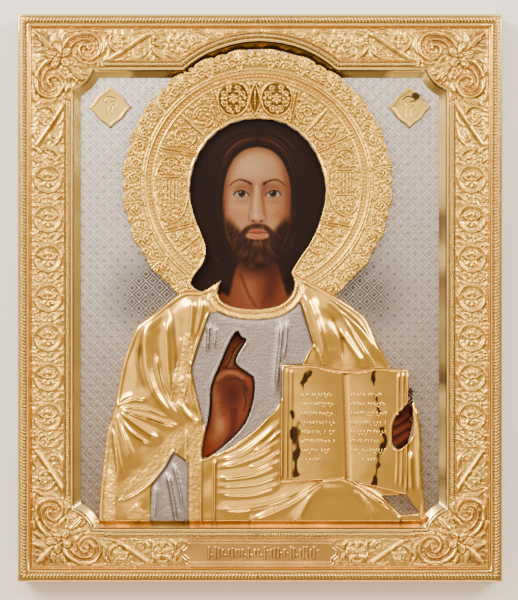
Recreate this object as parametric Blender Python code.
"""Icon panel: a painted wooden board in a gilt and silver stamped cover with a scalloped halo.

The panel lies on its back. The origin is at the middle of the back, +Y is the top of the picture and
+Z looks out of it. Lengths are in metres. Carving is drawn in millimetres at the real size and scaled
with the thing that it belongs to.
"""
import math

import bmesh
import bpy
import numpy as np

MM = 0.001

# Panel and the stack of layers from the back to the front
PANEL_WIDTH = 0.265
PANEL_HEIGHT = 0.310
BOARD_THICKNESS = 0.022
RECESS_DEPTH = 0.009
RECESS_MARGIN = 0.0056
LAID_CLEARANCE = 0.0008
PAINTING_THICKNESS = 0.002
GROUND_THICKNESS = 0.001
SHEET = 0.0012
PLATE_THICKNESS = 0.001
GAP = 0.0003
SKIRT_LIFT = 0.003

# Border of the frame cover, around the opening
SIDE_BORDER = 0.0343
TOP_BORDER = 0.0343
BOTTOM_BORDER = 0.0327
OUTER_MOULDING = 0.0084
INNER_MOULDING = 0.0089
BAND_DROP = 0.0005
ROPE_RISE = 0.0017
CORNER_CUT = 0.0098
CORNER_RADIUS = 0.0206
ARCH_LAND = 0.0012
ARCH_HALF_SPAN = 0.0403
MEDALLION_PITCH = 0.0212
MEDALLION_MARGIN = 0.0007

WREATH_INSET = 0.0875
WREATH_DROP = 0.0165
PALMETTE_INSET = 0.077
PALMETTE_DROP = 0.016
MOULDING_STOP = 0.050
FOOT_SPACING = 0.0105

# Halo and figure. The figure is drawn in millimetres, for a sight opening of the drawn size.
HALO_RADIUS = 0.0742
HALO_OFFSET = -0.0014
HALO_UNITS = 24
HALO_INNER_RADIUS = 0.034
SCALLOP_DEPTH = 0.0019
BRIM_UNDER_LIP = 0.0028
DRAWN_WIDTH = 196.4
DRAWN_HEIGHT = 243.0
DRAWN_HALO = 74.2
DRAWN_BORDER = 34.3
ROBE_EDGE = 0.0051
ROBE_BODY = 0.0014

# Small plates
PLAQUE_HALF_DIAGONAL = 0.0116
PLAQUE_INSET = 0.0162
TITLE_LENGTH = 0.088
TITLE_MARGIN = 0.0002

# Triangles kept on each carved sheet
FRAME_TRIANGLES = 4450
HALO_TRIANGLES = 1850
ROBE_TRIANGLES = 1500

HALF_WIDTH = PANEL_WIDTH / 2
HALF_HEIGHT = PANEL_HEIGHT / 2
SIGHT_X = HALF_WIDTH - SIDE_BORDER
SIGHT_TOP = HALF_HEIGHT - TOP_BORDER
SIGHT_BOTTOM = BOTTOM_BORDER - HALF_HEIGHT
ARCH_TOP = HALF_HEIGHT - OUTER_MOULDING - ARCH_LAND - INNER_MOULDING
ARCH_RISE = ARCH_TOP - SIGHT_TOP
ARCH_RADIUS = (ARCH_HALF_SPAN ** 2 + ARCH_RISE ** 2) / (2 * ARCH_RISE)
ARCH_CENTRE = ARCH_TOP - ARCH_RADIUS

RECESS_FLOOR = BOARD_THICKNESS - RECESS_DEPTH
PAINTING_BOTTOM = RECESS_FLOOR + GAP
PAINTING_TOP = PAINTING_BOTTOM + PAINTING_THICKNESS
GROUND_BOTTOM = PAINTING_TOP + GAP
GROUND_TOP = GROUND_BOTTOM + GROUND_THICKNESS
RELIEF_BACK = GROUND_TOP + GAP
UNDERSIDE = BOARD_THICKNESS + GAP
FRONT = UNDERSIDE + SHEET
BAND = FRONT - BAND_DROP
BEVEL_FOOT = RELIEF_BACK + 0.0004
BEVEL_SHELF = BEVEL_FOOT + 0.47 * (FRONT - BEVEL_FOOT)

FIGURE_SCALE = min(2 * SIGHT_X / (DRAWN_WIDTH * MM), (SIGHT_TOP - SIGHT_BOTTOM) / (DRAWN_HEIGHT * MM))
HALO_SCALE = HALO_RADIUS / (DRAWN_HALO * MM)
SIDE_SCALE = SIDE_BORDER / (DRAWN_BORDER * MM)
TOP_SCALE = TOP_BORDER / (DRAWN_BORDER * MM)
HALO_Y = ARCH_TOP - HALO_RADIUS
HALO_BRIM = BEVEL_SHELF + GAP + 0.0002
CUTTER_LOW = RELIEF_BACK - BOARD_THICKNESS / 2
CUTTER_HIGH = FRONT + BOARD_THICKNESS

PLAQUE_X = SIGHT_X - PLAQUE_INSET
PLAQUE_Y = SIGHT_TOP - PLAQUE_INSET
TITLE_HEIGHT = BOTTOM_BORDER - OUTER_MOULDING - INNER_MOULDING - 2 * TITLE_MARGIN
TITLE_Y = -HALF_HEIGHT + OUTER_MOULDING + TITLE_MARGIN + TITLE_HEIGHT / 2

# Face window and robe, in millimetres from the middle of the halo. Each run is one smooth edge.
HEAD_EDGE = [(18.5, -48.5), (23.4, -40.4), (30, -30.5), (35.4, -16.9), (37.6, -3.3), (34.9, 10.4),
             (27.8, 23.4), (15.3, 33.3), (0.5, 36), (-14.7, 33.3), (-27.3, 24), (-34.9, 10.4),
             (-37.1, -3.3), (-35.4, -15.3), (-30.5, -27.8), (-28.4, -34.9), (-29.4, -42.5),
             (-34.4, -49.6), (-36.5, -54.5), (-32.2, -58.3), (-28.4, -58.3), (-24, -55.6),
             (-19.9, -52.6)]
NECK_EDGE = [(-19.9, -52.6), (-21.8, -59.5), (-18.6, -64.9), (-10, -67.8), (1.1, -68.4),
             (12, -66.4), (18.6, -61), (20.4, -54), (18.5, -48.5)]
LEFT_SHOULDER = [(-19.9, -52.6), (-24.8, -55.9), (-31.1, -59.1), (-36.5, -58.8), (-41.9, -60.1),
                 (-48.2, -64.6), (-55.4, -70), (-63.5, -76.3), (-67.1, -80.8), (-69.9, -88.1),
                 (-73.5, -98.9), (-77.9, -122.3)]
LEFT_SKIRT = [(-77.9, -122.3), (-81.6, -134), (-82.9, -144.8), (-85.6, -168.3), (-86.2, -186),
              (-87, -260)]
RIGHT_SLEEVE = [(92.3, -260), (91.6, -186), (90.4, -165.7), (89.8, -153.1), (89.4, -140.6),
                (88.5, -129.3), (85.3, -117.5), (82.2, -110.7)]
RIGHT_SHOULDER = [(73.2, -100.7), (64.2, -84.4), (58.8, -73.6), (51.6, -67.3), (41.7, -61),
                  (28.1, -53.8), (18.5, -48.5)]
HAND_EDGE = [(-10.9, -80.2), (-8.8, -83.5), (-5.9, -85.5), (-10.3, -92.9), (-11.4, -98.4),
             (-4.1, -103.9), (-1.6, -107), (-1.9, -117.5), (-6.2, -130.5), (-14.4, -139.8),
             (-23.4, -147.2), (-30.2, -150), (-29.6, -140), (-27.4, -131), (-26, -121),
             (-25.5, -110.7), (-20.2, -97.7), (-14.5, -84.6)]
FINGER_EDGE = [(82.8, -111.5), (85.3, -113.4), (84.7, -122), (84.9, -132), (82.2, -141.8),
               (76.6, -145), (73.4, -140), (73.7, -131.5), (79, -123), (81.9, -116)]
PATCH_EDGE = [(67.8, -170), (81, -169.6), (89, -180), (78.5, -181)]
TUNIC_EDGE = [(-26.3, -70.4), (-36, -100.1), (-33.4, -114.3), (-29.4, -131), (-22.7, -148),
              (-13, -142.7), (-0.6, -133.8), (9.8, -123.2), (13.5, -117), (13.6, -98.6),
              (24.2, -98.4), (30.5, -87.6), (22.8, -63)]
UNDERSLEEVE_EDGE = [(-45.8, -146.3), (-37.4, -152.4), (-37.4, -200), (-59, -200), (-58, -165)]
BOOK_EDGE = [(13.8, -98.4), (48.2, -102), (82.4, -101.4), (81, -169.6), (45.9, -161), (13.4, -162.6)]
KNEE_EDGE = [(-3.8, -178), (11.5, -175.3), (23.3, -169.8), (36, -161.7), (45.9, -160.8),
             (54, -164.4), (67.6, -172.5), (78, -182), (78, -210), (-3.8, -210)]


def smooth_line(points, steps=4):
    """Points along a smooth curve through the given ones."""
    points = [np.array(point, float) for point in points]
    padded = [points[0]] + points + [points[-1]]
    line = []
    for before, start, end, after in zip(padded, padded[1:], padded[2:], padded[3:]):
        for step in range(steps):
            t = step / steps
            line.append(0.5 * (2 * start + (end - before) * t
                               + (2 * before - 5 * start + 4 * end - after) * t * t
                               + (3 * start - before - 3 * end + after) * t ** 3))
    line.append(points[-1])
    return np.array(line)


def joined_runs(*runs, steps=3):
    """A closed outline of smooth runs that meet in corners."""
    return np.concatenate([smooth_line(run, steps)[:-1] for run in runs])


def closed_smooth(points, steps=2):
    """A closed outline that is smooth all round."""
    around = points[-2:] + points + points[:2]
    return smooth_line(around, steps)[2 * steps:(len(points) + 2) * steps]


def grown(outline, distance):
    """A closed outline pushed outward along its normals."""
    ahead = np.roll(outline, -1, axis=0) - outline
    behind = outline - np.roll(outline, 1, axis=0)
    ahead /= np.linalg.norm(ahead, axis=1)[:, None]
    behind /= np.linalg.norm(behind, axis=1)[:, None]
    tangent = ahead + behind
    normal = np.stack([tangent[:, 1], -tangent[:, 0]], axis=1)
    normal /= np.maximum(np.linalg.norm(normal, axis=1), 1e-9)[:, None]
    following = np.roll(outline, -1, axis=0)
    area = np.sum(outline[:, 0] * following[:, 1] - following[:, 0] * outline[:, 1])
    return outline + normal * distance * (1 if area > 0 else -1)


def along_line(x, y, line):
    """Distance from each place to a line, and how far along the line its nearest point is, 0 to 1."""
    nearest = np.full(x.shape, 1e9)
    share = np.zeros(x.shape)
    steps = np.diff(line, axis=0)
    lengths = np.hypot(steps[:, 0], steps[:, 1])
    gone = 0.0
    for (start_x, start_y), (step_x, step_y), length in zip(line, steps, lengths):
        t = np.clip(((x - start_x) * step_x + (y - start_y) * step_y) / max(length ** 2, 1e-18), 0, 1)
        distance = np.hypot(x - start_x - t * step_x, y - start_y - t * step_y)
        nearer = distance < nearest
        nearest[nearer] = distance[nearer]
        share[nearer] = (gone + t[nearer] * length) / lengths.sum()
        gone += length
    return nearest, share


def depth_inside(x, y, outline):
    """Distance to a closed outline, positive inside it and negative outside."""
    ring = np.vstack([outline, outline[:1]])
    distance, _ = along_line(x, y, ring)
    inside = np.zeros(x.shape, bool)
    for (x0, y0), (x1, y1) in zip(ring, ring[1:]):
        if y0 != y1:
            crosses = (y0 > y) != (y1 > y)
            inside ^= crosses & (x < (x1 - x0) * (y - y0) / (y1 - y0) + x0)
    return np.where(inside, distance, -distance)


def ease(value):
    """A smooth step from 0 to 1 as the value goes from 0 to 1."""
    value = np.clip(value, 0, 1)
    return value * value * (3 - 2 * value)


def stroke(points, wide, narrow, crest):
    """One carved strand: its line, half width at its start and end, and height."""
    return smooth_line(points), wide, narrow, crest


def raised(x, y, strokes):
    """Height of the carved strands at each place. Where strands cross, the higher one shows."""
    height = np.zeros(x.shape)
    for line, wide, narrow, crest in strokes:
        reach = max(wide, narrow)
        low = line.min(axis=0) - reach
        high = line.max(axis=0) + reach
        near = (x > low[0]) & (x < high[0]) & (y > low[1]) & (y < high[1])
        if near.any():
            distance, share = along_line(x[near], y[near], line)
            half = wide + (narrow - wide) * share
            bump = crest * np.clip(1 - (distance / half) ** 2, 0, 1) ** 0.7
            height[near] = np.maximum(height[near], bump)
    return height


def moved(strokes, centre=(0, 0), turn=0.0, scale=1.0, flip=1):
    """Copies of strands, scaled, flipped across X, turned and put at a centre."""
    cosine, sine = math.cos(turn), math.sin(turn)
    copies = []
    for line, wide, narrow, crest in strokes:
        x = line[:, 0] * scale * flip
        y = line[:, 1] * scale
        placed = np.stack([centre[0] + x * cosine - y * sine, centre[1] + x * sine + y * cosine], axis=1)
        copies.append((placed, wide * scale, narrow * scale, crest * scale))
    return copies


def spiral(centre, start_radius, end_radius, start_angle, sweep, wide, narrow, crest):
    """A curling tendril, from its open end to its middle."""
    points = []
    for step in range(9):
        t = step / 8
        radius = start_radius + (end_radius - start_radius) * t
        angle = math.radians(start_angle + sweep * t)
        points.append((centre[0] + radius * math.cos(angle), centre[1] + radius * math.sin(angle)))
    return stroke(points, wide, narrow, crest)


def oval_points(centre, across, along, count):
    """Points round an oval, the first one again at the end."""
    angles = np.linspace(0, 2 * math.pi, count + 1)
    return [(centre[0] + across * math.cos(a), centre[1] + along * math.sin(a)) for a in angles]


def rosette(radius, petals):
    """Petals round a boss."""
    strokes = [stroke([(-0.01, 0), (0.01, 0)], 0.22 * radius, 0.22 * radius, 1.7)]
    for petal in range(petals):
        angle = math.radians(90 + 360 * petal / petals)
        out = np.array([math.cos(angle), math.sin(angle)])
        strokes.append(stroke([out * 0.3 * radius, out * 0.62 * radius, out * 0.85 * radius],
                              0.18 * radius, 0.3 * radius, 1.3))
    return strokes


def medallion(radius):
    """A ring with a rosette inside it, in millimetres."""
    strokes = rosette(0.68 * radius, 5)
    ring = oval_points((0, 0), 0.88 * radius, 0.88 * radius, 12)
    strokes.append(stroke(ring, 0.13 * radius, 0.13 * radius, 1.6))
    return strokes


def corner_strokes():
    """Half of one corner's carving, in millimetres inward from the panel's corner."""
    return [
        stroke([(23, 18.5), (28.5, 14.2), (35, 11.6), (41, 12.4), (44.6, 16.6), (44, 21.6), (39.8, 24),
                (36, 21.8), (36.2, 18.4)], 1.9, 1.1, 1.9),
        stroke([(24.5, 22), (29, 19), (32.5, 16.6)], 1.6, 0.9, 1.7),
        stroke([(27.5, 27.5), (32, 30.5), (37, 32)], 1.5, 1.0, 1.6),
        stroke([(19, 17.5), (15.5, 13.4), (11.2, 11.4)], 1.7, 1.0, 1.5),
        stroke([(20.5, 16.5), (21.5, 12.8), (25.4, 11)], 1.3, 0.8, 1.3),
        stroke([(46.5, 27), (51, 23.6), (58, 19.2), (64, 14.8), (71, 11.6)], 1.2, 1.8, 1.7),
        stroke([(47.4, 17), (49, 12.6), (53, 10.4), (58, 10.6), (61.4, 13.8)], 1.1, 0.8, 1.3),
        stroke([(54.6, 15.4), (56.4, 15.4)], 1.9, 1.9, 1.5),
        stroke([(56, 24), (63, 22.4), (70, 18.2), (76, 16)], 1.3, 0.9, 1.4),
    ]


def run_leaves():
    """The leafy bundle that swings across the band between two medallions, in millimetres."""
    return [
        stroke([(-7.2, 3.6), (-3, 2.0), (2, -0.4), (7.4, -3.6)], 1.4, 1.0, 1.5),
        stroke([(-5.4, -0.6), (-1, -2.4), (4, -5.0)], 1.2, 0.8, 1.2),
        stroke([(0.5, 3.6), (5.0, 2.4), (7.2, 4.0)], 1.2, 0.8, 1.2),
    ]


def frame_strokes():
    """All the carving of the border, in metres."""
    strokes = []
    for line, wide, narrow, crest in corner_strokes():
        for swap in (False, True):
            p, q = (line[:, 1], line[:, 0]) if swap else (line[:, 0], line[:, 1])
            for side_x in (-1, 1):
                for side_y in (-1, 1):
                    if side_y < 0 and not swap and p.max() > 72:
                        continue
                    points = np.stack([side_x * (HALF_WIDTH - p * MM * SIDE_SCALE),
                                       side_y * (HALF_HEIGHT - q * MM * SIDE_SCALE)], axis=1)
                    strokes.append((points, wide * MM * SIDE_SCALE, narrow * MM * SIDE_SCALE, crest * MM))
    band_width = SIDE_BORDER - OUTER_MOULDING - INNER_MOULDING
    band_x = HALF_WIDTH - OUTER_MOULDING - band_width / 2
    middle_y = (SIGHT_TOP + SIGHT_BOTTOM) / 2
    radius = band_width / 2 - MEDALLION_MARGIN
    free = (SIGHT_TOP - SIGHT_BOTTOM) / 2 - MOULDING_STOP * SIDE_SCALE
    count = max(int(free / MEDALLION_PITCH), 0)
    for side in (-1, 1):
        for step in range(-count, count + 1):
            centre = (side * band_x, middle_y + step * MEDALLION_PITCH)
            strokes += moved(medallion(radius / MM), centre, scale=MM, flip=side)
        for step in range(-count, count + 2):
            centre = (side * band_x, middle_y + (step - 0.5) * MEDALLION_PITCH)
            strokes += moved(run_leaves(), centre, scale=MM * radius / (7.9 * MM), flip=-side)
    for side in (-1, 1):
        wreath = (side * (HALF_WIDTH - WREATH_INSET * TOP_SCALE), HALF_HEIGHT - WREATH_DROP * TOP_SCALE)
        strokes += moved(medallion(6.2), wreath, scale=MM * TOP_SCALE)
        palmette = [stroke([(-1.5, -6), (1.5 * lean, -1.5), (3.8 * lean, 5.5 - abs(lean))], 1.1, 0.7, 1.5)
                    for lean in (-1, 0, 1)]
        fan = (side * (HALF_WIDTH - PALMETTE_INSET * TOP_SCALE), HALF_HEIGHT - PALMETTE_DROP * TOP_SCALE)
        strokes += moved(palmette, fan, scale=MM * TOP_SCALE, flip=-side)
        scrolls = [stroke([(96, 12.2), (101, 14), (106, 12), (112, 12.4), (118, 11.2)], 1.0, 0.5, 1.3),
                   spiral((100.4, 17.8), 3.0, 1.4, 150, -300, 1.0, 0.8, 1.3),
                   stroke([(82, 23.4), (88, 25), (95, 22)], 1.0, 0.6, 1.3)]
        for line, wide, narrow, crest in scrolls:
            points = np.stack([side * (HALF_WIDTH - line[:, 0] * MM * TOP_SCALE),
                               HALF_HEIGHT - line[:, 1] * MM * TOP_SCALE], axis=1)
            strokes.append((points, wide * MM * TOP_SCALE, narrow * MM * TOP_SCALE, crest * MM))
        foot = (side * (TITLE_LENGTH / 2 + FOOT_SPACING), TITLE_Y)
        strokes += moved(medallion(0.4 * TITLE_HEIGHT / MM), foot, scale=MM)
    return strokes


def opening_outline(grow, counts):
    """The sight opening pushed outward by grow, counter-clockwise from the bottom left.

    The counts give the points on each side, corner, flat of the top, arch and on the bottom.
    """
    side_count, corner_count, flat_count, arch_count, bottom_count = counts
    offset = (-CORNER_CUT + math.sqrt(2 * CORNER_RADIUS ** 2 - CORNER_CUT ** 2)) / 2
    radius = CORNER_RADIUS - grow
    leg = math.sqrt(max(radius ** 2 - (offset - grow) ** 2, 1e-8)) - offset
    start = math.atan2(leg + offset, offset - grow)
    foot = math.sqrt((ARCH_RADIUS + grow) ** 2 - (SIGHT_TOP + grow - ARCH_CENTRE) ** 2)
    right, top, bottom = SIGHT_X + grow, SIGHT_TOP + grow, SIGHT_BOTTOM - grow

    def corner(sign_x, sign_y, from_side):
        angles = np.linspace(start, math.pi / 2 - start, corner_count + 1)
        if not from_side:
            angles = angles[::-1]
        x = sign_x * (SIGHT_X + offset - radius * np.cos(angles))
        base = SIGHT_TOP if sign_y > 0 else -SIGHT_BOTTOM
        y = sign_y * (base + offset - radius * np.sin(angles))
        return np.stack([x, y], axis=1)[:-1]

    def straight(x0, y0, x1, y1, count):
        t = np.linspace(0, 1, count + 1)[:-1]
        return np.stack([x0 + (x1 - x0) * t, y0 + (y1 - y0) * t], axis=1)

    inner_x, inner_top, inner_bottom = SIGHT_X - leg, SIGHT_TOP - leg, SIGHT_BOTTOM + leg
    half_angle = math.atan2(foot, SIGHT_TOP + grow - ARCH_CENTRE)
    angles = np.linspace(half_angle, -half_angle, arch_count + 1)[:-1]
    arch = np.stack([(ARCH_RADIUS + grow) * np.sin(angles),
                     ARCH_CENTRE + (ARCH_RADIUS + grow) * np.cos(angles)], axis=1)
    return np.concatenate([
        straight(-inner_x, bottom, inner_x, bottom, bottom_count),
        corner(1, -1, False),
        straight(right, inner_bottom, right, inner_top, side_count),
        corner(1, 1, True),
        straight(inner_x, top, foot, top, flat_count),
        arch,
        straight(-foot, top, -inner_x, top, flat_count),
        corner(-1, 1, False),
        straight(-right, inner_top, -right, inner_bottom, side_count),
        corner(-1, -1, True)])


def panel_outline(inset, counts):
    """The panel's rectangle moved inward, with one point for each point of the opening."""
    side_count, corner_count, flat_count, arch_count, bottom_count = counts
    wide, high = HALF_WIDTH - inset, HALF_HEIGHT - inset
    fan = 0.35 * min(SIDE_BORDER, TOP_BORDER)
    foot = ARCH_HALF_SPAN + 0.08 * ARCH_HALF_SPAN
    corner_x, corner_y = wide - fan, high - fan

    def straight(x0, y0, x1, y1, count):
        t = np.linspace(0, 1, count + 1)[:-1]
        return np.stack([x0 + (x1 - x0) * t, y0 + (y1 - y0) * t], axis=1)

    half = corner_count // 2
    return np.concatenate([
        straight(-corner_x, -high, corner_x, -high, bottom_count),
        straight(corner_x, -high, wide, -high, half), straight(wide, -high, wide, -corner_y, half),
        straight(wide, -corner_y, wide, corner_y, side_count),
        straight(wide, corner_y, wide, high, half), straight(wide, high, corner_x, high, half),
        straight(corner_x, high, foot, high, flat_count),
        straight(foot, high, -foot, high, arch_count),
        straight(-foot, high, -corner_x, high, flat_count),
        straight(-corner_x, high, -wide, high, half), straight(-wide, high, -wide, corner_y, half),
        straight(-wide, corner_y, -wide, -corner_y, side_count),
        straight(-wide, -corner_y, -wide, -high, half), straight(-wide, -high, -corner_x, -high, half)])


def new_object(name, mesh, material=None, cutter=False):
    """Put a mesh in the scene, among the parts or among the cutters."""
    piece = bpy.data.objects.new(name, mesh)
    if cutter:
        piece.display_type = 'WIRE'
        piece.hide_render = True
        cutters.objects.link(piece)
    else:
        parts.objects.link(piece)
        mesh.materials.clear()
        mesh.materials.append(material)
    return piece


def plate_mesh(name, outlines, bottom, top):
    """A flat plate or cutter: closed outlines, filled, between two heights. Outlines inside cut holes."""
    curve = bpy.data.curves.new(name, 'CURVE')
    curve.dimensions = '2D'
    curve.fill_mode = 'BOTH'
    curve.extrude = (top - bottom) / 2
    for outline in outlines:
        spline = curve.splines.new('POLY')
        spline.points.add(len(outline) - 1)
        for point, (x, y) in zip(spline.points, outline):
            point.co = (x, y, 0, 1)
        spline.use_cyclic_u = True
    guide = bpy.data.objects.new(name + "_guide", curve)
    bpy.context.scene.collection.objects.link(guide)
    bpy.context.view_layer.update()
    evaluated = guide.evaluated_get(bpy.context.evaluated_depsgraph_get())
    mesh = bpy.data.meshes.new_from_object(evaluated)
    bpy.data.objects.remove(guide)
    model = bmesh.new()
    model.from_mesh(mesh)
    bmesh.ops.remove_doubles(model, verts=model.verts, dist=1e-5)
    bmesh.ops.translate(model, verts=model.verts, vec=(0, 0, (bottom + top) / 2))
    bmesh.ops.recalc_face_normals(model, faces=model.faces)
    model.to_mesh(mesh)
    model.free()
    mesh.name = name
    return mesh


def box_mesh(name, low, high):
    """A box between two corners."""
    model = bmesh.new()
    bmesh.ops.create_cube(model, size=1)
    for corner in model.verts:
        for axis in range(3):
            corner.co[axis] = low[axis] if corner.co[axis] < 0 else high[axis]
    mesh = bpy.data.meshes.new(name)
    model.to_mesh(mesh)
    model.free()
    return mesh


def sheet_cutter(name, outline):
    """A tall block of an outline, to cut a sheet with."""
    return new_object(name, plate_mesh(name, [outline], CUTTER_LOW, CUTTER_HIGH), cutter=True)


def unit_grid(columns, rows):
    """A flat grid, with each corner's place across and along it as shares."""
    model = bmesh.new()
    bmesh.ops.create_grid(model, x_segments=columns, y_segments=rows, size=0.5)
    places = np.array([vert.co[:2] for vert in model.verts]) + 0.5
    return model, np.rint(places[:, 0] * columns).astype(int), np.rint(places[:, 1] * rows).astype(int)


def place_points(model, x, y, z):
    """Move the grid's points to their places."""
    for vert, place in zip(list(model.verts), np.stack([x, y, z], axis=1)):
        vert.co = place


def finish_mesh(model, name):
    """Weld, face outward and hand over a mesh."""
    bmesh.ops.remove_doubles(model, verts=model.verts, dist=1e-6)
    bmesh.ops.recalc_face_normals(model, faces=model.faces)
    mesh = bpy.data.meshes.new(name)
    model.to_mesh(mesh)
    model.free()
    mesh.shade_smooth()
    mesh.set_sharp_from_angle(angle=math.radians(40))
    return mesh


def add_boolean(piece, cutter, operation='DIFFERENCE'):
    """Cut a piece with another object."""
    cut = piece.modifiers.new(operation.title() + "_" + cutter.name, 'BOOLEAN')
    cut.operation = operation
    cut.solver = 'EXACT'
    cut.object = cutter


def add_decimate(piece, triangles):
    """Keep about this many triangles, where the shape needs them most."""
    bpy.context.view_layer.update()
    mesh = piece.evaluated_get(bpy.context.evaluated_depsgraph_get()).to_mesh()
    mesh.calc_loop_triangles()
    thin = piece.modifiers.new("Thin_out", 'DECIMATE')
    thin.decimate_type = 'COLLAPSE'
    thin.ratio = min(triangles / len(mesh.loop_triangles), 1.0)
    thin.use_collapse_triangulate = True


def make_material(name, colour, roughness, metallic):
    material = bpy.data.materials.new(name)
    material.use_nodes = True
    shader = material.node_tree.nodes["Principled BSDF"]
    shader.inputs["Base Color"].default_value = (*colour, 1)
    shader.inputs["Roughness"].default_value = roughness
    shader.inputs["Metallic"].default_value = metallic
    return material


def figure_place(x, y):
    """From millimetres on the figure to metres on the panel."""
    return (HALO_OFFSET + x * MM * FIGURE_SCALE, HALO_Y + y * MM * FIGURE_SCALE)


def figure_outline(outline):
    """An outline drawn on the figure, in metres on the panel."""
    return np.stack(figure_place(outline[:, 0], outline[:, 1]), axis=1)


def build_frame(material):
    """The stamped border: skirt, rope mouldings, carved band, lip and bevel, as one ring of loops."""
    counts = (150, 24, 34, 56, 122)
    rope = FRONT + ROPE_RISE
    outer = [(0, SKIRT_LIFT), (0, FRONT - 0.0020), (0.0006, FRONT - 0.0005), (0.0020, FRONT),
             (0.0024, FRONT - 0.0002), (0.0030, FRONT + 0.0010), (0.0041, rope), (0.0052, FRONT + 0.0010),
             (0.0059, FRONT - 0.0002), (0.0066, FRONT + 0.0006), (0.0076, FRONT + 0.0005),
             (OUTER_MOULDING, BAND)]
    inner = [(INNER_MOULDING, BAND), (0.0083, FRONT - 0.0003), (0.0078, FRONT + 0.0007),
             (0.0068, FRONT + 0.0011), (0.0058, FRONT + 0.0007), (0.0053, FRONT - 0.0003), (0.0050, FRONT),
             (0.0037, FRONT), (0.0033, BEVEL_SHELF), (0, BEVEL_FOOT), (0, RELIEF_BACK)]
    lip = SHEET + 0.0037
    under_shelf = RELIEF_BACK + (BEVEL_SHELF - BEVEL_FOOT) * 0.82
    under = [(0.0014, RELIEF_BACK), (lip - 0.0004, under_shelf), (lip, UNDERSIDE)]
    band_rows = 11
    loops, heights, kinds = [], [], []
    for inset, height in outer:
        loops.append(panel_outline(inset, counts))
        heights.append(height)
        kinds.append("outer" if inset < OUTER_MOULDING else "band")
    edge, sight = panel_outline(OUTER_MOULDING, counts), opening_outline(INNER_MOULDING, counts)
    for row in range(1, band_rows):
        loops.append(edge + (sight - edge) * row / band_rows)
        heights.append(BAND)
        kinds.append("band")
    for grow, height in inner:
        loops.append(opening_outline(grow, counts))
        heights.append(height)
        kinds.append("inner" if grow > 0.0045 else "bevel")
    for grow, height in under:
        loops.append(opening_outline(grow, counts))
        heights.append(height)
        kinds.append("under")
    for height in (UNDERSIDE, SKIRT_LIFT):
        loops.append(panel_outline(SHEET, counts))
        heights.append(height)
        kinds.append("under")

    columns, rows = len(loops[0]), len(loops)
    model, column, row = unit_grid(columns, rows)
    loops = np.array(loops)
    x = loops[row % rows, column % columns, 0]
    y = loops[row % rows, column % columns, 1]
    z = np.array(heights)[row % rows]
    kind = np.array(kinds)[row % rows]
    corner_y = np.where(y > 0, SIGHT_TOP - y, y - SIGHT_BOTTOM)
    away = np.hypot(SIGHT_X - np.abs(x), corner_y)
    fade = ease((away - CORNER_CUT - 0.004) / 0.003)
    inner_crest = kind == "inner"
    z[inner_crest] = FRONT + (z[inner_crest] - FRONT) * fade[inner_crest]
    carved = (kind == "band") | inner_crest
    share = np.where(inner_crest[carved], 1 - fade[carved], 1)
    z[carved] += raised(x[carved], y[carved], frame_strokes()) * share
    place_points(model, x, y, z)
    frame = new_object("frame_cover", finish_mesh(model, "frame_cover"), material)
    add_decimate(frame, FRAME_TRIANGLES)
    return frame


def halo_strokes():
    """Carving of the halo, in millimetres from its middle."""
    strokes = []
    for unit in range(HALO_UNITS):
        turn = math.radians(-6.4 - 360 * unit / HALO_UNITS)
        volutes = []
        for side in (-1, 1):
            volutes.append(spiral((side * 3.6, 65.9), 3.1, 0.5, 90 - side * 60, side * 400, 0.75, 0.5, 0.9))
            volutes.append(stroke([(0, 67.5), (side * 1.6, 70.4), (side * 3.4, 71.8)], 0.5, 0.5, 0.8))
        volutes.append(stroke([(0, 66.5), (0, 70), (0, 73)], 0.5, 0.7, 0.8))
        strokes += moved(volutes, turn=turn)
    for radius, half, crest in ((61.3, 0.9, 1.0), (58.6, 0.8, 0.9), (40, 0.8, 0.7)):
        strokes.append(stroke(oval_points((0, 0), radius, radius, 36), half, half, crest))
    arms = [[(-23.6, 50), (-19.6, 31.7)], [(20.4, 47.2), (17.8, 33.7)], [(-51.3, 18.7), (-34.9, 16.4)],
            [(-48.5, -24.8), (-35.8, -21.6)], [(51.6, 26.5), (35.3, 19.2)], [(48.9, -23.1), (35.3, -20.4)]]
    for start, end in arms:
        strokes.append(stroke([start, end], 0.8, 0.8, 1.0))
    for centre, across, along in (((0, 47.4), 12.5, 7.2), ((-47.5, -2), 6.4, 12), ((48.5, 0.5), 6.4, 13)):
        strokes.append(stroke(oval_points(centre, across, along, 16), 0.8, 0.8, 0.9))
    for turn in (45, 135, 225, 318):
        spray = []
        for leaf in range(-2, 3):
            lean = math.radians(12 * leaf)
            tip = 1.25 * lean
            spray.append(stroke([(36 * math.sin(lean), 40 * math.cos(lean)),
                                 (46 * math.sin(lean), 46 * math.cos(lean)),
                                 (52 * math.sin(tip), 55 * math.cos(tip))], 1.4, 0.8, 1.0))
        strokes += moved(spray, turn=math.radians(turn - 90))
    return strokes


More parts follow.
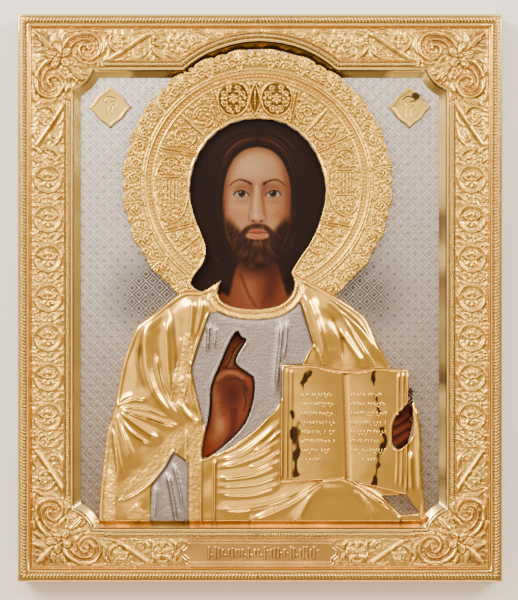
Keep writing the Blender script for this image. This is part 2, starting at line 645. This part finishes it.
def build_halo(material, face_cutter, robe_cutter):
    """The scalloped nimbus: a shallow cone of sheet around the face, cut to the robe's shoulders."""
    columns, rows = 24 * 15, 24
    model, column, row = unit_grid(columns, rows)
    angle = np.radians(-84 + 332 * column / columns)
    clockwise = (90 - np.degrees(angle) - 6.4) * HALO_UNITS / 360
    phase = clockwise - np.rint(clockwise)
    shell = np.sqrt(np.clip(1 - (phase / 0.31) ** 2, 0, 1))
    bud = 0.62 * np.sqrt(np.clip(1 - ((np.abs(phase) - 0.5) / 0.16) ** 2, 0, 1))
    scallop = HALO_RADIUS - SCALLOP_DEPTH * (1 - np.maximum(shell, bud))
    limit_x = SIGHT_X + BRIM_UNDER_LIP
    reach_x = (limit_x - np.sign(np.cos(angle)) * HALO_OFFSET) / np.maximum(np.abs(np.cos(angle)), 1e-3)
    top = SIGHT_TOP + BRIM_UNDER_LIP
    arch_x = HALO_OFFSET + scallop * np.cos(angle)
    arch_y = HALO_Y + scallop * np.sin(angle)
    inside_arch = np.hypot(arch_x, arch_y - ARCH_CENTRE) < ARCH_RADIUS + BRIM_UNDER_LIP
    reach_y = np.where(inside_arch, 1.0, (top - HALO_Y) / np.maximum(np.sin(angle), 1e-3))
    reach_y = np.where(np.sin(angle) > 0, reach_y, 1.0)
    brim = np.minimum(np.minimum(scallop, reach_x), reach_y)
    inner = HALO_INNER_RADIUS * HALO_SCALE
    radius = inner + (brim - inner) * row / rows
    x = radius * np.cos(angle)
    y = radius * np.sin(angle)
    rise = np.clip((radius - inner - 0.002 * HALO_SCALE) / (0.032 * HALO_SCALE), 0, 1)
    lower = RELIEF_BACK + rise * (HALO_BRIM - RELIEF_BACK)
    crest = raised(x / HALO_SCALE / MM, y / HALO_SCALE / MM, halo_strokes()) * MM
    upper = lower + SHEET + crest
    place_points(model, HALO_OFFSET + x, HALO_Y + y, upper)
    order = list(model.verts)
    back = dict(zip(order, lower))
    copied = bmesh.ops.duplicate(model, geom=list(model.faces))
    pairs = copied["vert_map"]
    for vert in order:
        pairs[vert].co.z = back[vert]
    rim = [edge for edge in model.edges if edge.is_boundary]
    bmesh.ops.bridge_loops(model, edges=rim)
    halo = new_object("halo", finish_mesh(model, "halo"), material)
    add_decimate(halo, HALO_TRIANGLES)
    add_boolean(halo, face_cutter)
    add_boolean(halo, robe_cutter)
    return halo


def robe_folds():
    """Ridges of the drapery, in millimetres from the middle of the halo. A negative crest is a groove."""
    elbow = (-77.9, -122.3)
    return [
        stroke(NECK_EDGE, 2.6, 2.6, 1.0),
        stroke([(-48.4, -66), (-54, -72), (-60.9, -80.6), (-60.5, -98), (-57.3, -110.7), (-51.1, -120.5),
                (-40.5, -132)], 3.4, 2.4, 1.9),
        stroke([(-50, -72), (-49, -91), (-48.4, -104), (-46, -120)], 2.6, 1.6, 1.3),
        stroke([(-35.1, -61), (-36, -76), (-38, -90)], 1.6, 1.4, 1.1),
        stroke([(-30, -60), (-30.5, -70), (-34, -84)], 1.6, 1.2, 1.1),
        stroke([(-43, -118), (-38, -126), (-31, -131)], 2.2, 1.6, 1.2),
        stroke([(-64.8, -86.8), (-65.7, -96.6), (-63.5, -107.2), (-60, -116)], 1.6, 1.4, -1.1),
        stroke([(-48.2, -67), (-45.8, -74.4), (-44.9, -84.1), (-44, -96.6), (-44.9, -109)], 1.2, 1.2, -1.0),
        stroke([elbow, (-68, -116.6), (-60, -118.3)], 1.5, 1.2, 1.2),
        stroke([elbow, (-60, -127), (-41, -133)], 1.6, 1.6, 1.5),
        stroke([elbow, (-66, -131), (-52, -141)], 1.6, 2.0, 1.3),
        stroke([elbow, (-74, -135), (-66, -155)], 1.6, 2.2, 1.3),
        stroke([(-79, -132), (-77, -146), (-75, -164)], 1.8, 1.6, 1.3),
        stroke([(-45.8, -145.3), (-51.1, -155.1), (-59.1, -164), (-67.9, -170.2), (-75, -172.8)],
               1.4, 1.4, 1.3),
        stroke([(-49.3, -156.9), (-46.7, -169.3), (-44, -186)], 1.5, 1.5, 1.2),
        stroke([(-55, -162), (-53, -174), (-50, -188)], 1.3, 1.5, 1.0),
        stroke([(-34.5, -132), (-34.5, -160), (-34.8, -190)], 4.0, 4.0, 0.9),
        stroke([(-26.8, -150), (-27, -170), (-27.4, -190)], 3.2, 3.2, 1.3),
        stroke([(13.5, -74), (12.5, -88), (9.7, -116)], 1.4, 1.2, 0.9),
        stroke([(-26.5, -76), (-27.2, -92)], 1.1, 0.9, 0.8),
        stroke([(25, -58), (30.8, -71.3), (35, -84.9), (37.8, -99.3)], 3.4, 2.2, 1.7),
        stroke([(32, -58.5), (44, -68), (56, -79), (66, -92), (71, -100)], 2.4, 1.8, 1.6),
        stroke([(45, -79), (51, -88.4), (59.5, -100.6)], 1.6, 2.4, 1.5),
        stroke([(40, -71), (45.4, -84.9), (47.6, -98.4)], 1.3, 1.3, -1.0),
        stroke([(9.8, -123.2), (-0.6, -133.8), (-13, -142.7), (-22.7, -148)], 1.6, 1.2, 1.4),
        stroke([(12, -130), (2, -139.5), (-10, -147.6), (-22, -150.6)], 1.8, 1.2, 1.4),
        stroke([(12, -140), (0, -147.6), (-22, -155)], 2.0, 1.0, 1.2),
        stroke([(12, -151), (-2, -157.6), (-22.4, -160.6)], 2.2, 1.2, 1.4),
        stroke([(12, -164), (-4, -168.6), (-22.7, -168.6)], 2.0, 1.4, 1.2),
        stroke([(24, -167), (10, -173.4), (-6, -177), (-23, -177.4)], 2.2, 1.8, 1.5),
        stroke([(36, -161.9), (23.3, -170.4), (11.5, -176.6), (-6, -184)], 1.4, 1.6, 1.2),
        stroke([(36, -161.9), (45.9, -161), (54, -164.6), (67, -172.6), (77, -181)], 1.6, 1.2, 1.4),
        stroke([(35, -164.5), (28, -172), (20.6, -186)], 1.6, 2.0, 1.2),
        stroke([(52.2, -166), (58, -173), (64, -185)], 1.6, 2.0, 1.2),
        stroke([(83.6, -116), (87, -132), (87.6, -150), (88.6, -176)], 1.6, 1.4, 1.2),
        stroke([(83.4, -146), (83.6, -158), (84.4, -170)], 1.6, 1.4, 0.9),
    ]


def build_robe(material, outline, windows, finger_cutter, sight_cutter):
    """The garment relief, flat at the back, with the open book and the cloth over the knee."""
    low = figure_place(-92, -196)
    high = figure_place(97, -44)
    low = (low[0], min(low[1], SIGHT_BOTTOM - 0.004))
    columns = int((high[0] - low[0]) / (1.5 * MM * FIGURE_SCALE))
    rows = int((high[1] - low[1]) / (1.5 * MM * FIGURE_SCALE))
    model, column, row = unit_grid(columns, rows)
    x = low[0] + (high[0] - low[0]) * column / columns
    y = low[1] + (high[1] - low[1]) * row / rows
    u = (x - HALO_OFFSET) / FIGURE_SCALE / MM
    v = (y - HALO_Y) / FIGURE_SCALE / MM
    edges = joined_runs(LEFT_SHOULDER, LEFT_SKIRT, RIGHT_SLEEVE, [(82.2, -110.7), (82.6, -101.3)],
                        [(82.6, -101.3), (73.2, -100.7)], RIGHT_SHOULDER, NECK_EDGE[::-1])
    inside = depth_inside(u, v, edges)
    height = ROBE_BODY * ease(inside / 9)
    folds = robe_folds()
    ridges = raised(u, v, [fold for fold in folds if fold[3] > 0])
    hollows = [(line, wide, narrow, -crest) for line, wide, narrow, crest in folds if crest < 0]
    grooves = raised(u, v, hollows)
    tunic = ease(depth_inside(u, v, np.array(TUNIC_EDGE)) / 2 + 0.5)
    undersleeve = ease(depth_inside(u, v, np.array(UNDERSLEEVE_EDGE)) / 2 + 0.5)
    book = ease(depth_inside(u, v, np.array(BOOK_EDGE)) / 1.6 + 0.5)
    knee = ease(depth_inside(u, v, np.array(KNEE_EDGE)) / 2 + 0.5)
    lowered = 0.0010 * np.maximum(tunic, undersleeve)
    page = np.abs(u - 47) / 34
    pages = 0.0021 + 0.0007 * np.sin(math.pi * np.clip(page, 0, 1)) - 0.0006 * ease((0.12 - page) / 0.12)
    cloth = height - lowered + (ridges - grooves) * MM * ease(inside / 3 + 0.25)
    covered = cloth * (1 - book) + pages * book
    cloth_over_knee = 0.0020 + 0.0012 * np.exp(-((u - 43) / 24) ** 2) + ridges * MM
    relief = np.where(knee > 0, covered * (1 - knee) + cloth_over_knee * knee, covered)
    for window in (HAND_EDGE, FINGER_EDGE):
        near = -depth_inside(u, v, np.array(window))
        relief = relief - 0.0016 * (1 - ease(near / 4))
    place_points(model, x, y, RELIEF_BACK + ROBE_EDGE + relief * FIGURE_SCALE)
    rim = [edge for edge in model.edges if edge.is_boundary]
    wall = bmesh.ops.extrude_edge_only(model, edges=rim)["geom"]
    for vert in wall:
        if isinstance(vert, bmesh.types.BMVert):
            vert.co.z = RELIEF_BACK
    floor = [edge for edge in wall if isinstance(edge, bmesh.types.BMEdge) and edge.is_boundary]
    bmesh.ops.edgeloop_fill(model, edges=floor)
    robe = new_object("robe", finish_mesh(model, "robe"), material)
    cookie = new_object("robe_outline", plate_mesh("robe_outline", [outline] + windows,
                                                   CUTTER_LOW, CUTTER_HIGH), cutter=True)
    add_decimate(robe, ROBE_TRIANGLES)
    add_boolean(robe, cookie, 'INTERSECT')
    add_boolean(robe, finger_cutter)
    add_boolean(robe, sight_cutter, 'INTERSECT')
    return robe


def plaque_outline(centre_x):
    """A diamond with ogee sides."""
    points = []
    for quarter in range(4):
        start = math.radians(90 * quarter)
        end = math.radians(90 * quarter + 90)
        first = PLAQUE_HALF_DIAGONAL * np.array([math.cos(start), math.sin(start)])
        last = PLAQUE_HALF_DIAGONAL * np.array([math.cos(end), math.sin(end)])
        outward = (first + last) / np.linalg.norm(first + last)
        for step in range(8):
            t = step / 8
            swell = 0.0004 * (1 - math.cos(2 * math.pi * t)) - 0.0004 * math.sin(2 * math.pi * t) ** 2
            points.append(first + (last - first) * t + outward * swell)
    return np.array(points) + np.array([centre_x, PLAQUE_Y])


def title_outline():
    """A long plate with stepped and rounded bracket ends."""
    end = TITLE_LENGTH / 2
    half = TITLE_HEIGHT / 2
    upper = [(end, 0), (end - 0.0006, 0.30 * half), (end - 0.0026, 0.52 * half),
             (end - 0.0030, 0.56 * half), (end - 0.0028, 0.76 * half), (end - 0.0042, 0.94 * half),
             (end - 0.0066, half)]
    points = upper + [(-x, y) for x, y in upper[::-1]]
    points += [(-x, -y) for x, y in upper[1:]] + [(x, -y) for x, y in upper[:0:-1]]
    return np.array(points) + np.array([0, TITLE_Y])


for leftover in list(bpy.data.objects):
    bpy.data.objects.remove(leftover)
parts = bpy.data.collections.new("Icon panel")
cutters = bpy.data.collections.new("Icon panel cutters")
bpy.context.scene.collection.children.link(parts)
bpy.context.scene.collection.children.link(cutters)

wood = make_material("board_wood", (0.33, 0.20, 0.11), 0.6, 0.0)
paint = make_material("painting_paint", (0.16, 0.08, 0.05), 0.45, 0.0)
silver = make_material("ground_silver", (0.72, 0.70, 0.68), 0.3, 1.0)
robe_gold = make_material("robe_gold", (0.83, 0.62, 0.27), 0.2, 1.0)
halo_gold = make_material("halo_gold", (0.85, 0.66, 0.33), 0.3, 1.0)
frame_gold = make_material("frame_gold", (0.86, 0.66, 0.34), 0.25, 1.0)
plaque_gold = make_material("plaque_gold", (0.95, 0.84, 0.52), 0.25, 1.0)

# Board with its recess
board_x = HALF_WIDTH - SHEET - GAP
board_y = HALF_HEIGHT - SHEET - GAP
recess_x = SIGHT_X + RECESS_MARGIN
recess_top = ARCH_TOP + RECESS_MARGIN
recess_bottom = SIGHT_BOTTOM - RECESS_MARGIN
board_box = box_mesh("board", (-board_x, -board_y, 0), (board_x, board_y, BOARD_THICKNESS))
board = new_object("board", board_box, wood)
recess = new_object("board_recess", box_mesh("board_recess", (-recess_x, recess_bottom, RECESS_FLOOR),
                                             (recess_x, recess_top, CUTTER_HIGH)), cutter=True)
add_boolean(board, recess)

# Painting and silver ground, which lie in the recess with a small clearance
laid_x = recess_x - LAID_CLEARANCE
laid_top = recess_top - LAID_CLEARANCE
laid_bottom = recess_bottom + LAID_CLEARANCE
new_object("painting", box_mesh("painting", (-laid_x, laid_bottom, PAINTING_BOTTOM),
                                (laid_x, laid_top, PAINTING_TOP)), paint)

face_window = figure_outline(joined_runs(HEAD_EDGE, NECK_EDGE, steps=2))
hand_window = figure_outline(closed_smooth(HAND_EDGE))
finger_window = figure_outline(closed_smooth(FINGER_EDGE))
patch_window = figure_outline(np.array(PATCH_EDGE))
robe_outline = figure_outline(joined_runs(
    LEFT_SHOULDER, LEFT_SKIRT, [LEFT_SKIRT[-1], RIGHT_SLEEVE[0]], RIGHT_SLEEVE,
    [(82.2, -110.7), (82.6, -101.3)], [(82.6, -101.3), (73.2, -100.7)], RIGHT_SHOULDER, NECK_EDGE[::-1]))

ground_edge = np.array([(-laid_x, laid_bottom), (laid_x, laid_bottom), (laid_x, laid_top),
                        (-laid_x, laid_top)])
ground_mesh = plate_mesh("ground_plate", [ground_edge, face_window, hand_window, finger_window],
                         GROUND_BOTTOM, GROUND_TOP)
new_object("ground_plate", ground_mesh, silver)

# Carved sheets over the ground

face_cutter = sheet_cutter("face_cutter", face_window)
finger_cutter = sheet_cutter("finger_cutter", finger_window)
shoulder_cutter = sheet_cutter("shoulder_cutter", grown(robe_outline, GAP + 0.0001))
sparse_counts = (2, 8, 2, 16, 2)
sight_cutter = sheet_cutter("sight_cutter", opening_outline(-GAP - 0.0002, sparse_counts))
build_halo(halo_gold, face_cutter, shoulder_cutter)
build_robe(robe_gold, robe_outline, [hand_window, patch_window], finger_cutter, sight_cutter)
build_frame(frame_gold)

# Small plates
for side, word in ((-1, "left"), (1, "right")):
    name = "monogram_plaque_" + word
    new_object(name, plate_mesh(name, [plaque_outline(side * PLAQUE_X)], RELIEF_BACK,
                                RELIEF_BACK + PLATE_THICKNESS), plaque_gold)
new_object("title_plate", plate_mesh("title_plate", [title_outline()], BAND + GAP,
                                     BAND + GAP + PLATE_THICKNESS), plaque_gold)
